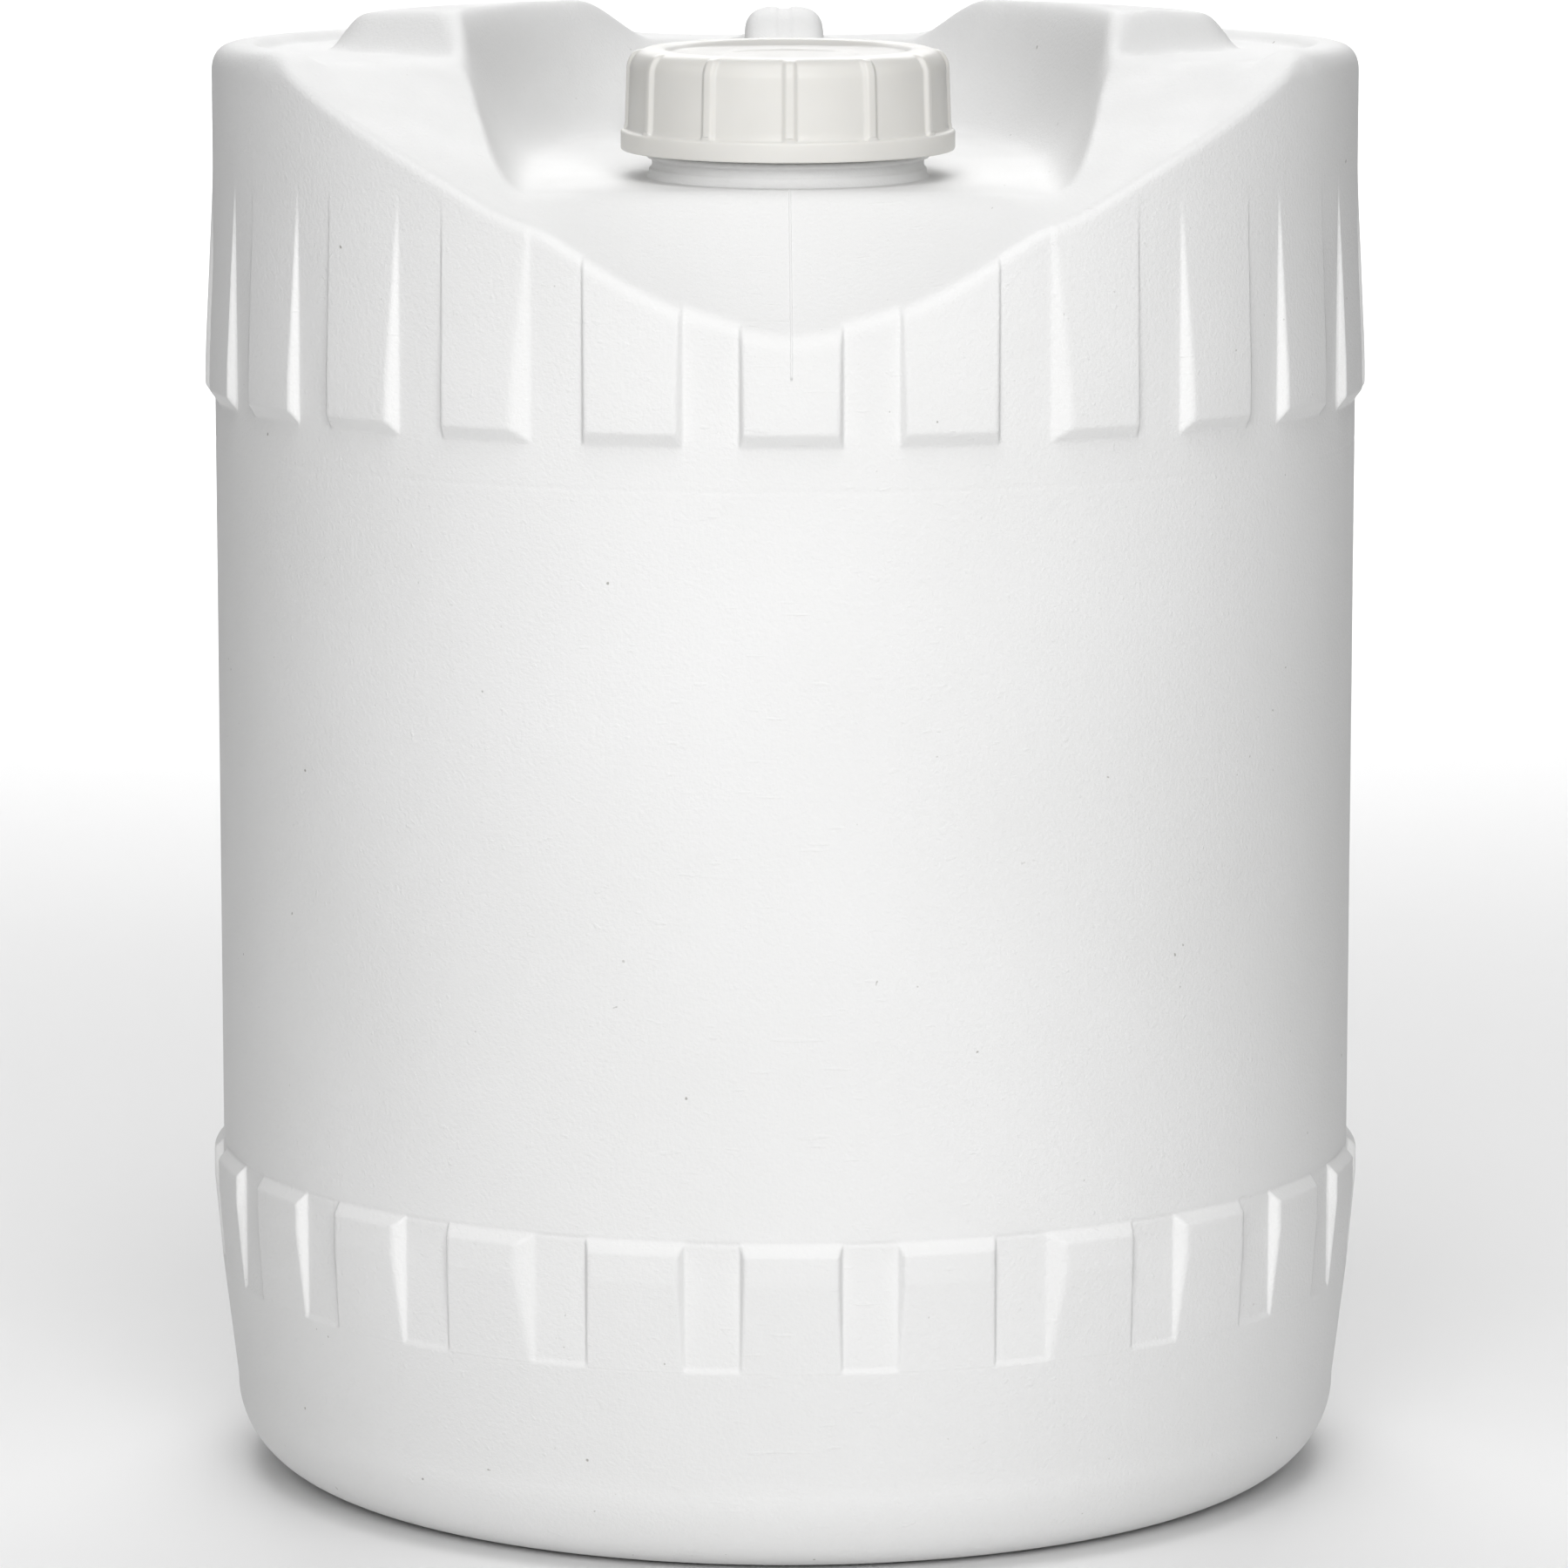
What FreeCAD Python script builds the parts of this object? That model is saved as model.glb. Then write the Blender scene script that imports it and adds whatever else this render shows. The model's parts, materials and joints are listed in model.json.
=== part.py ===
"""Plastic chemical drum, about 20 litres: a round blow-moulded shell with a carrying handle, a 70 mm
screw cap and the cap's sealing ring.

Millimetres. +Z is up, the origin is the centre of the base and the neck stands towards -Y.
"""

import FreeCAD, Part
import os

import Sketcher
from FreeCAD import Placement, Rotation, Vector

DIMENSIONS = {
    # shell, seen in its revolved section
    "body_radius": 143.0,
    "wall": 2.5,
    "rim_height": 359.4,
    "rim_width": 11.5,
    "rim_slant": 1.0,
    "rim_rounding": 6.0,
    "deck_height": 357.0,
    "foot_radius": 139.9,
    "foot_height": 22.0,
    "foot_rounding": 21.0,
    "taper_end": 52.0,
    "push_up": 3.0,
    "push_up_radius": 98.0,
    "push_up_slant": 5.0,
    # grip pads, two bands of them round the wall
    "pad_count": 24.0,
    "pad_angle": 9.7,
    "pad_proud": 2.4,
    "pad_root": 3.0,
    "low_pad_foot": 52.0,
    "low_pad_crest": 73.4,
    "low_pad_top": 80.3,
    "low_band_end": 83.0,
    "high_band_start": 271.3,
    "high_pad_foot": 274.8,
    "high_pad_crest": 281.0,
    "high_pad_end": 320.0,
    # three kinds of facet cut the front of the top away: each is a plane with its height on the
    # drum's axis, its rise sideways and its rise rearwards, in millimetres per millimetre
    "middle_height": 425.7,
    "middle_rise": 0.9,
    "flank_height": 363.0,
    "flank_out": 0.474,
    "flank_rise": 0.534,
    "side_height": 351.6,
    "side_out": 0.25,
    "side_rise": 0.338,
    "side_start": 58.0,
    # recess round the neck and under the handle
    "recess_half_width": 73.0,
    "recess_centre": -40.0,
    "recess_rear": 145.0,
    "recess_front": -114.0,
    "floor_rise": 0.0314,
    "well_half_width": 38.0,
    "well_front": 22.0,
    "well_rear": 76.0,
    "well_floor": 321.0,
    # raised collar, open at the front and at the rear
    "collar_height": 367.6,
    "collar_foot_radius": 124.0,
    "collar_top_radius": 117.0,
    "collar_front": -48.0,
    "collar_gap": 44.0,
    "collar_sink": 10.0,
    "rear_rim_height": 355.5,
    "rear_start": 80.0,
    # carrying handle
    "handle_width": 19.5,
    "handle_front": 8.0,
    "handle_leg": 14.0,
    "handle_top": 366.0,
    "handle_corner": 5.0,
    "handle_crest_end": 30.0,
    "handle_rear": 118.0,
    "handle_rear_top": 356.2,
    "handle_under": 349.0,
    "handle_root": 92.0,
    "handle_root_rise": 12.0,
    # neck, in its own frame: its foot on the recess floor, its axis leaning towards the front
    "neck_y": -66.0,
    "neck_floor": 329.8,
    "neck_tilt": 1.8,
    "neck_bore": 30.0,
    "neck_radius": 32.8,
    "neck_height": 24.4,
    "neck_root": 2.4,
    "neck_flare": 3.0,
    "bore_overrun": 10.0,
    "bead_radius": 34.4,
    "bead_low": 4.2,
    "bead_high": 5.6,
    "thread_radius": 34.8,
    "thread_pitch": 5.0,
    "thread_turns": 1.5,
    "thread_start": 12.3,
    "thread_base": 2.6,
    "thread_crest": 1.2,
    # cap, in the neck's frame
    "cap_foot": 6.5,
    "cap_flange_radius": 40.3,
    "cap_flange_height": 4.8,
    "cap_radius": 38.6,
    "cap_top_radius": 38.0,
    "cap_height": 24.2,
    "cap_shoulder": 5.0,
    "cap_land": 28.75,
    "cap_land_slant": 1.5,
    "cap_dish": 1.5,
    "cap_step_radius": 17.25,
    "cap_step": 0.5,
    "cap_under": 26.5,
    "cap_inside": 35.3,
    "cap_lead_out": 0.6,
    "cap_lead_up": 1.2,
    "cap_thread_radius": 33.2,
    "cap_thread_turns": 1.2,
    "rib_count": 12.0,
    "rib_width": 3.5,
    "rib_proud": 1.0,
    "rib_depth": 2.0,
    "rib_bend_in": 0.6,
    "rib_bend_drop": 1.6,
    "rib_end_drop": 0.1,
    # sealing ring
    "gasket_inner": 29.0,
    "gasket_outer": 34.9,
    "gasket_thickness": 1.95,
    "gasket_play": 0.05,
    # cutting blocks are this large, and blind features sink this far into what they join
    "block": 700.0,
    "sink": 0.4,
}

doc = FreeCAD.newDocument("chemical_drum")
sheet = doc.addObject("Spreadsheet::Sheet", "sizes")
for row, (alias, number) in enumerate(DIMENSIONS.items(), start=1):
    sheet.set(f"A{row}", alias)
    sheet.set(f"B{row}", str(number))
    sheet.setAlias(f"B{row}", alias)
doc.recompute()


def size(expression):
    """The present value of an expression of sheet cells."""
    result = sheet.evalExpression(expression)
    return float(getattr(result, "Value", result))


def cells(text):
    """An expression that names the sheet's cells, from one that uses their bare aliases."""
    words = text.replace("(", " ( ").replace(")", " ) ").split()
    return " ".join("sizes." + word if word in DIMENSIONS else word for word in words)


def bind(item, **properties):
    """Tie properties of a document object to expressions of the sheet's cells."""
    for name, text in properties.items():
        item.setExpression(name.replace("__", "."), cells(text))


# ---------------------------------------------------------------- sketches and features

def body_named(name):
    """An empty body."""
    return doc.addObject("PartDesign::Body", name)


def plane_of(body, role):
    """One of the body's own origin planes."""
    return next(item for item in body.Origin.OriginFeatures if item.Role == role)


def outline(body, name, role, corners):
    """A closed outline of straight edges; each corner is a pair of expressions."""
    sketch = body.newObject("Sketcher::SketchObject", name)
    sketch.AttachmentSupport = [(plane_of(body, role), "")]
    sketch.MapMode = "FlatFace"
    places = [Vector(size(cells(across)), size(cells(up)), 0) for across, up in corners]
    count = len(places)
    for index, place in enumerate(places):
        sketch.addGeometry(Part.LineSegment(place, places[(index + 1) % count]), False)
    for index in range(count):
        following = (index + 1) % count
        sketch.addConstraint(Sketcher.Constraint("Coincident", index, 2, following, 1))
    for index, (across, up) in enumerate(corners):
        place = places[index]
        for kind, text, number in (("DistanceX", across, place.x), ("DistanceY", up, place.y)):
            tie = sketch.addConstraint(Sketcher.Constraint(kind, -1, 1, index, 1, number))
            sketch.setExpression(f"Constraints[{tie}]", cells(text))
    return sketch


def revolved(body, name, corners, angle=None):
    """A section in the XZ plane turned about the body's Z axis, all round or over an angle."""
    sketch = outline(body, name + "_section", "XZ_Plane", corners)
    feature = body.newObject("PartDesign::Revolution", name)
    feature.Profile = sketch
    feature.ReferenceAxis = (sketch, ["V_Axis"])
    feature.Angle = 360.0
    if angle:
        feature.Midplane = True
        bind(feature, Angle=angle)
    doc.recompute()
    return feature


def repeated(body, name, feature, count):
    """A feature repeated all round the body's Z axis."""
    pattern = body.newObject("PartDesign::PolarPattern", name)
    pattern.Originals = [feature]
    pattern.Axis = (feature.Profile[0], ["V_Axis"])
    pattern.Angle = 360.0
    bind(pattern, Occurrences=count)
    body.Tip = pattern
    doc.recompute()
    return pattern


def threaded(body, name, corners, turns):
    """A right-hand thread of the neck's pitch swept round the body's Z axis."""
    sketch = outline(body, name + "_section", "XZ_Plane", corners)
    helix = body.newObject("PartDesign::AdditiveHelix", name)
    doc.recompute()
    helix.Profile = sketch
    helix.ReferenceAxis = (sketch, ["V_Axis"])
    helix.Mode = "pitch-turns-angle"
    bind(helix, Pitch="thread_pitch", Turns=turns)
    doc.recompute()
    return helix


def rounded(body, name, base, circles, radius):
    """Fillet the circular edges that have the given radii and heights."""
    names = []
    for index, edge in enumerate(base.Shape.Edges, start=1):
        if not isinstance(edge.Curve, Part.Circle):
            continue
        for across, up in circles:
            near = abs(edge.Curve.Radius - size(cells(across))) < 0.05
            if near and abs(edge.Curve.Center.z - size(cells(up))) < 0.05:
                names.append(f"Edge{index}")
    feature = body.newObject("PartDesign::Fillet", name)
    feature.Base = (base, names)
    bind(feature, Radius=radius)
    doc.recompute()
    return feature


# ---------------------------------------------------------------- blocks and booleans

def joined(kind, name, parts):
    """The union or the common part of several solids."""
    item = doc.addObject(kind, name)
    item.Shapes = parts
    return item


def cut(name, base, tool):
    """A solid less another."""
    item = doc.addObject("Part::Cut", name)
    item.Base = base
    item.Tool = tool
    return item


def block(name, low, high):
    """A box between two corners, each three expressions."""
    item = doc.addObject("Part::Box", name)
    bind(item, Length=f"( {high[0]} ) - ( {low[0]} )")
    bind(item, Width=f"( {high[1]} ) - ( {low[1]} )")
    bind(item, Height=f"( {high[2]} ) - ( {low[2]} )")
    bind(item, Placement__Base__x=low[0], Placement__Base__y=low[1], Placement__Base__z=low[2])
    return item


def above(name, height, out, rise, side, inset):
    """All that lies above a tilted plane, lowered by the inset square to the plane."""
    item = doc.addObject("Part::Box", name)
    bind(item, Length="block", Width="block", Height="block / 2")
    normal = Vector(-side * size(cells(out)), -size(cells(rise)), 1.0)
    lift = size(cells(height)) - size(cells(inset)) * normal.Length
    turn = Rotation(Vector(0, 0, 1), normal)
    middle = Vector(size(cells("block / 2")), size(cells("block / 2")), 0)
    item.Placement = Placement(Vector(0, 0, lift) - turn.multVec(middle), turn)
    return item


# ---------------------------------------------------------------- the shell

def revolved_shell(name, inset, with_pads):
    """The round body of the drum, its outside or, with an inset, the space within it."""
    body = body_named(name)
    drum = revolved(body, name + "_round", [
        ("0", f"push_up + {inset}"),
        ("push_up_radius", f"push_up + {inset}"),
        ("push_up_radius + push_up_slant", inset),
        (f"foot_radius - {inset}", inset),
        (f"foot_radius - {inset}", "foot_height"),
        (f"body_radius - {inset}", "taper_end"),
        (f"body_radius - {inset}", f"rim_height - {inset}"),
        (f"body_radius - rim_width + {inset}", f"rim_height - {inset}"),
        (f"body_radius - rim_width + {inset} - rim_slant", f"deck_height - {inset}"),
        ("0", f"deck_height - {inset}"),
    ])
    drum = rounded(body, name + "_foot", drum, [(f"foot_radius - {inset}", inset)],
                   f"foot_rounding - {inset}")
    rounded(body, name + "_rim", drum, [(f"body_radius - {inset}", f"rim_height - {inset}")],
            f"rim_rounding - {inset}")
    if with_pads:
        face = "body_radius + pad_proud"
        root = "body_radius - pad_root"
        low = revolved(body, "low_pad", [
            (root, "low_pad_foot"), ("body_radius", "low_pad_foot"), (face, "low_pad_crest"),
            (face, "low_pad_top"), ("body_radius", "low_band_end"), (root, "low_band_end"),
        ], "pad_angle")
        repeated(body, "low_pads", low, "pad_count")
        high = revolved(body, "high_pad", [
            (root, "high_band_start"), ("body_radius", "high_band_start"), (face, "high_pad_foot"),
            (face, "high_pad_crest"), ("body_radius", "high_pad_end"), (root, "high_pad_end"),
        ], "pad_angle")
        repeated(body, "high_pads", high, "pad_count")
    return body


def collar(name, inset):
    """The two raised lobes beside the recess, before the recess is cut."""
    cone = doc.addObject("Part::Cone", name + "_cone")
    bind(cone, Radius1=f"collar_foot_radius - {inset}", Radius2=f"collar_top_radius - {inset}")
    bind(cone, Height=f"collar_height - {inset} - rear_rim_height + collar_sink")
    bind(cone, Placement__Base__z="rear_rim_height - collar_sink")
    rear = block(name + "_rear", ("0 - block", f"collar_front + {inset}", "0"), ("block", "block", "block"))
    ring = joined("Part::MultiCommon", name + "_ring", [cone, rear])
    gap = block(name + "_gap", (f"0 - collar_gap - {inset}", "rear_start", "0"),
                (f"collar_gap + {inset}", "block", "block"))
    return cut(name, ring, gap)


def front_cutter(name, inset):
    """What the facets take off the front of the top."""
    middle = above(name + "_middle", "middle_height", "0", "middle_rise", 1, inset)
    flanks = [above(f"{name}_flank_{label}", "flank_height", "flank_out", "flank_rise", side, inset)
              for label, side in (("right", 1), ("left", -1))]
    cutters = [joined("Part::MultiCommon", name + "_centre", [middle] + flanks)]
    for label, side in (("right", 1), ("left", -1)):
        tilted = above(f"{name}_side_{label}", "side_height", "side_out", "side_rise", side, inset)
        start = f"side_start - {inset}"
        low, high = (start, "block") if side > 0 else ("0 - block", f"0 - ( {start} )")
        zone = block(f"{name}_zone_{label}", (low, "0 - block", "0"), (high, "block", "block"))
        cutters.append(joined("Part::MultiCommon", f"{name}_{label}", [tilted, zone]))
    return joined("Part::MultiFuse", name, cutters)


def recess_cutter(name, inset):
    """The recess round the neck, with the finger well under the handle."""
    ellipse = doc.addObject("Part::Ellipse", name + "_oval")
    bind(ellipse, MajorRadius=f"recess_rear + {inset}", MinorRadius=f"recess_half_width + {inset}")
    ellipse.Placement = Placement(Vector(0, size(cells("recess_centre")), 0), Rotation(Vector(0, 0, 1), 90))
    oval = doc.addObject("Part::Extrusion", name + "_oval_prism")
    oval.Base = ellipse
    oval.DirMode = "Custom"
    oval.Dir = Vector(0, 0, 1)
    oval.Solid = True
    bind(oval, LengthFwd="block")
    half = f"recess_half_width + {inset}"
    rear = block(name + "_rear", ("0 - block", "recess_centre", "0"), ("block", "block", "block"))
    back = joined("Part::MultiCommon", name + "_back", [oval, rear])
    front = block(name + "_front", (f"0 - ( {half} )", "recess_front", "0"), (half, "recess_centre", "block"))
    plan = joined("Part::MultiFuse", name + "_plan", [back, front])
    floor = above(name + "_floor", "neck_floor - neck_y * floor_rise", "0", "floor_rise", 1, inset)
    bowl = joined("Part::MultiCommon", name + "_bowl", [plan, floor])
    well = block(name + "_well",
                 (f"0 - well_half_width - {inset}", f"well_front - {inset}", f"well_floor - {inset}"),
                 (f"well_half_width + {inset}", f"well_rear + {inset}", "deck_height"))
    return joined("Part::MultiFuse", name, [bowl, well])


def envelope(name, inset, with_pads):
    """The outside of the shell without neck and handle, or the space inside it."""
    drum = revolved_shell(name + "_drum", inset, with_pads)
    rear_notch = block(name + "_notch", (f"0 - collar_gap - {inset}", "rear_start", f"rear_rim_height - {inset}"),
                       (f"collar_gap + {inset}", "block", "block"))
    trimmed = cut(name + "_trimmed", drum, joined("Part::MultiFuse", name + "_trim",
                                                  [front_cutter(name + "_slope", inset), rear_notch]))
    raised = joined("Part::MultiFuse", name + "_raised", [trimmed, collar(name + "_collar", inset)])
    return cut(name, raised, recess_cutter(name + "_recess", inset))


def handle():
    """The carrying handle: a front leg, a bar that falls to the rear and a root in the rear wall."""
    body = body_named("handle")
    sketch = outline(body, "handle_side", "YZ_Plane", [
        ("handle_front", "well_floor - sink"),
        ("handle_front", "handle_top - handle_corner"),
        ("handle_front + handle_corner", "handle_top"),
        ("handle_crest_end", "handle_top"),
        ("handle_rear", "handle_rear_top"),
        ("handle_rear", "well_floor + handle_root_rise"),
        ("handle_root", "well_floor + handle_root_rise"),
        ("handle_root - handle_corner", "handle_under - handle_corner"),
        ("handle_front + handle_leg + handle_corner", "handle_under"),
        ("handle_front + handle_leg", "handle_under - handle_corner"),
        ("handle_front + handle_leg", "well_floor - sink"),
    ])
    pad = body.newObject("PartDesign::Pad", "handle_bar")
    pad.Profile = sketch
    pad.Midplane = True
    bind(pad, Length="handle_width")
    doc.recompute()
    return body


def put_on_neck(item):
    """Stand a piece in the neck's frame."""
    bind(item, Placement__Base__y="neck_y", Placement__Base__z="neck_floor")
    item.Placement = Placement(Vector(0, size(cells("neck_y")), size(cells("neck_floor"))),
                               Rotation(Vector(1, 0, 0), size(cells("neck_tilt"))))
    return item


def neck():
    """The neck with its bead and outside thread."""
    body = body_named("neck")
    revolved(body, "neck_tube", [
        ("neck_bore", "0 - neck_root"), ("neck_radius + neck_flare", "0 - neck_root"), ("neck_radius + neck_flare", "0"),
        ("neck_radius", "neck_flare"), ("neck_radius", "bead_low"), ("bead_radius", "bead_low"),
        ("bead_radius", "bead_high"), ("neck_radius", "bead_high"), ("neck_radius", "neck_height"),
        ("neck_bore", "neck_height"),
    ])
    threaded(body, "neck_thread", [
        ("neck_radius - sink", "thread_start - thread_base / 2"),
        ("thread_radius", "thread_start - thread_crest / 2"),
        ("thread_radius", "thread_start + thread_crest / 2"),
        ("neck_radius - sink", "thread_start + thread_base / 2"),
    ], "thread_turns")
    return put_on_neck(body)


def neck_bore():
    """The clear way through the neck."""
    bore = doc.addObject("Part::Cylinder", "neck_way")
    bind(bore, Radius="neck_bore", Height="neck_height + 2 * bore_overrun")
    lean = Rotation(Vector(1, 0, 0), size(cells("neck_tilt")))
    below = lean.multVec(Vector(0, 0, size(cells("bore_overrun"))))
    foot = Vector(0, size(cells("neck_y")), size(cells("neck_floor"))) - below
    bore.Placement = Placement(foot, lean)
    return bore


def drum_shell():
    """One hollow shell: walls, recess, collar, handle and neck are a single moulding."""
    outside = joined("Part::MultiFuse", "outside", [envelope("outer", "0", True), neck(), handle()])
    inside = joined("Part::MultiFuse", "inside", [envelope("inner", "wall", False), neck_bore()])
    cavity = cut("cavity", inside, handle_keep())
    return cut("drum_shell", outside, cavity)


def handle_keep():
    """The handle's root stays solid where it runs into the rear wall."""
    return block("handle_keep", ("0 - handle_width / 2", "handle_root", "well_floor + handle_root_rise"),
                 ("handle_width / 2", "handle_rear", "collar_height"))


# ---------------------------------------------------------------- cap and sealing ring

def screw_cap():
    """The cap: skirt with a foot flange, twelve ribs over the shoulder, dished top, inside thread."""
    body = body_named("screw_cap")
    crest = "cap_foot + cap_height"
    flange_top = "cap_foot + cap_flange_height"
    turned = revolved(body, "cap_turned", [
        ("cap_inside + cap_lead_out", "cap_foot"), ("cap_flange_radius", "cap_foot"),
        ("cap_flange_radius", flange_top), ("cap_radius", flange_top), ("cap_top_radius", crest),
        ("cap_land + cap_land_slant", crest), ("cap_land", f"{crest} - cap_dish"),
        ("cap_step_radius", f"{crest} - cap_dish"),
        ("cap_step_radius - cap_step", f"{crest} - cap_dish - cap_step"),
        ("0", f"{crest} - cap_dish - cap_step"), ("0", "cap_under"), ("cap_inside", "cap_under"),
        ("cap_inside", "cap_foot + cap_lead_up"),
    ])
    rounded(body, "cap_shoulder_round", turned, [("cap_top_radius", crest)], "cap_shoulder")
    sketch = outline(body, "rib_side", "XZ_Plane", [
        ("cap_radius - rib_depth", f"{flange_top} - sink"),
        ("cap_radius + rib_proud", f"{flange_top} - sink"),
        ("cap_top_radius + rib_proud", f"{crest} - cap_shoulder"),
        ("cap_top_radius - rib_bend_in", f"{crest} - rib_bend_drop"),
        ("cap_top_radius - cap_shoulder", f"{crest} - rib_end_drop"),
        ("cap_top_radius - cap_shoulder", f"{crest} - rib_depth"),
        ("cap_top_radius - rib_depth", f"{crest} - cap_shoulder"),
    ])
    rib = body.newObject("PartDesign::Pad", "rib")
    rib.Profile = sketch
    rib.Midplane = True
    bind(rib, Length="rib_width")
    doc.recompute()
    repeated(body, "ribs", rib, "rib_count")
    middle = "thread_start + thread_pitch / 2"
    threaded(body, "cap_thread", [
        ("cap_inside + sink", f"{middle} - thread_base / 2"),
        ("cap_inside + sink", f"{middle} + thread_base / 2"),
        ("cap_thread_radius", f"{middle} + thread_crest / 2"),
        ("cap_thread_radius", f"{middle} - thread_crest / 2"),
    ], "cap_thread_turns")
    return put_on_neck(body)


def cap_gasket():
    """The flat ring in the cap that seals on the neck's lip."""
    body = body_named("cap_gasket")
    revolved(body, "gasket_ring", [
        ("gasket_inner", "neck_height + gasket_play"), ("gasket_outer", "neck_height + gasket_play"),
        ("gasket_outer", "neck_height + gasket_play + gasket_thickness"),
        ("gasket_inner", "neck_height + gasket_play + gasket_thickness"),
    ])
    return put_on_neck(body)


pieces = {"drum_shell": drum_shell(), "screw_cap": screw_cap(), "cap_gasket": cap_gasket()}
doc.recompute()

for item in doc.Objects:
    if "Invalid" in item.State or "Error" in item.State:
        raise RuntimeError(f"{item.Name} failed: {item.State}")
for label, item in pieces.items():
    item.Label = label
    if item.Shape.isNull() or not item.Shape.isValid():
        raise RuntimeError(f"{label} has no valid shape")

os.makedirs("parts", exist_ok=True)
for label, item in pieces.items():
    item.Shape.exportStep(f"parts/{label}.step")
    box = item.Shape.BoundBox
    print(label, len(item.Shape.Solids), "solids", round(item.Shape.Volume), "mm3",
          [round(v, 1) for v in (box.XMin, box.YMin, box.ZMin, box.XMax, box.YMax, box.ZMax)])
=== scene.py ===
import json
import math

import bpy
import numpy as np
from mathutils import Matrix, Vector


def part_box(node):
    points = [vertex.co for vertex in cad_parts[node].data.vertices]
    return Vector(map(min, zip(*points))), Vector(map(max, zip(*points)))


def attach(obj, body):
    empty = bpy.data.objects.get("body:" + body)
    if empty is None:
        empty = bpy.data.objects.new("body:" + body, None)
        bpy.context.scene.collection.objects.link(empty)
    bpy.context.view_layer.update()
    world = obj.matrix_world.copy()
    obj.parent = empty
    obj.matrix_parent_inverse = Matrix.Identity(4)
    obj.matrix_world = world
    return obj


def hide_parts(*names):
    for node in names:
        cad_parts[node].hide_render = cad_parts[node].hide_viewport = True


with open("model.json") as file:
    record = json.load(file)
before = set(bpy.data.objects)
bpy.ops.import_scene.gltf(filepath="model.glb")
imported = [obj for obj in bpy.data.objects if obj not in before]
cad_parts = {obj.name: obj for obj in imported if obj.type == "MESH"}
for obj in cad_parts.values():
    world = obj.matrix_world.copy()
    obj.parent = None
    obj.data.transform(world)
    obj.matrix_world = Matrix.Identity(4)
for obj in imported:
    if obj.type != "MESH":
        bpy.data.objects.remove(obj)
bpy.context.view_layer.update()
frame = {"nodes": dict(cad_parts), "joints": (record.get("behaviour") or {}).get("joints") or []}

# Shapes are worked out in millimetres and turned to metres when a mesh is made.
MM = 0.001

SHELL_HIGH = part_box("drum_shell")[1] / MM
PAD_PROUD = 2.4
BODY_RADIUS = SHELL_HIGH.x - PAD_PROUD - 0.05
TOP = SHELL_HIGH.z - 0.15

# the wall, from the base up
FOOT_RADIUS = 139.9
FOOT_HEIGHT = 22.0
FOOT_ROUNDING = 21.0
TAPER_END = 52.0
TAPER_LEDGE = 0.5
LOW_PAD_CREST = 73.4
LOW_BAND_END = 83.0
HIGH_BAND_START = 271.3
HIGH_PAD_END = 326.0
HIGH_PAD_TAPER = 45.0
FINE_LINE_HEIGHT = 261.0

# the pads, and how steep their flanks and bevels are
PAD_COUNT = 24
PAD_PITCH = math.radians(360.0 / PAD_COUNT)
PAD_HALF_WIDTH = 12.1
PAD_EDGE = 0.35
LOW_BEVEL = 0.95
HIGH_BEVEL = 0.75
FLANK = 2.2
FLANK_NEAR_PARTING = 1.8
NEAR_PARTING = math.radians(20.0)
STEEPEST_DRAFT = math.radians(76.0)

# the recess floor, which the neck stands on
NECK_JOINT = next(joint for joint in frame["joints"] if joint["name"] == "cap_turn")
NECK_FOOT = Vector(NECK_JOINT["pos_m"])
NECK_AXIS = Vector(NECK_JOINT["axis"]).normalized()
FLOOR_RISE = -NECK_AXIS.y / NECK_AXIS.z


# ---------------------------------------------------------------- smooth arithmetic

def step(value, start, end):
    """0 before start, 1 after end, smooth between."""
    part = np.clip((value - start) / (end - start), 0.0, 1.0)
    return part * part * (3.0 - 2.0 * part)


def lower(a, b, blend):
    """The smaller of two, with a rounding about as wide as blend where they cross."""
    part = np.clip(0.5 + 0.5 * (b - a) / blend, 0.0, 1.0)
    return b * (1.0 - part) + a * part - blend * part * (1.0 - part)


def higher(a, b, blend):
    """The larger of two, rounded in the same way."""
    return -lower(-a, -b, blend)


def mix(a, b, part):
    """The first where part is 0, the second where it is 1."""
    return a * (1.0 - part) + b * part


# ---------------------------------------------------------------- the drum's wall

def cone_radius(height):
    """The tapered foot of the drum, which the low pads continue upwards."""
    return np.interp(height, (FOOT_HEIGHT, TAPER_END, LOW_PAD_CREST),
                     (FOOT_RADIUS, BODY_RADIUS + TAPER_LEDGE, BODY_RADIUS + PAD_PROUD))


def mould_line(height, middle, depth, width):
    """The depth of a fine line that runs round the wall."""
    return depth * np.exp(-((height - middle) / width) ** 2)


def plain_radius(height):
    """The wall without its pads: the tapered foot, a small ledge, a cylinder with two fine mould lines."""
    radius = mix(cone_radius(height), BODY_RADIUS, step(height, TAPER_END - 0.7, TAPER_END + 1.4))
    radius = radius - mould_line(height, LOW_BAND_END, 0.22, 0.45)
    return radius - mould_line(height, FINE_LINE_HEIGHT, 0.07, 0.5)


def low_pad_height(height):
    """How far the low pads stand out: the foot's cone, a short upright face, a bevel. Below the taper's
    end they sink into the wall."""
    sunk = 2.0 * (1.0 - step(height, TAPER_END - 1.2, TAPER_END))
    face = cone_radius(height) - BODY_RADIUS - sunk
    return lower(face, (LOW_BAND_END - height) * LOW_BEVEL, PAD_EDGE)


def high_pad_height(height):
    """How far the high pads stand out: a bevel, a short upright face, a long taper to nothing."""
    taper = (HIGH_PAD_END - height) * PAD_PROUD / HIGH_PAD_TAPER
    face = lower(np.full_like(height, PAD_PROUD), taper, 0.3)
    return lower(face, (height - HIGH_BAND_START) * HIGH_BEVEL, PAD_EDGE)


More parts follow.
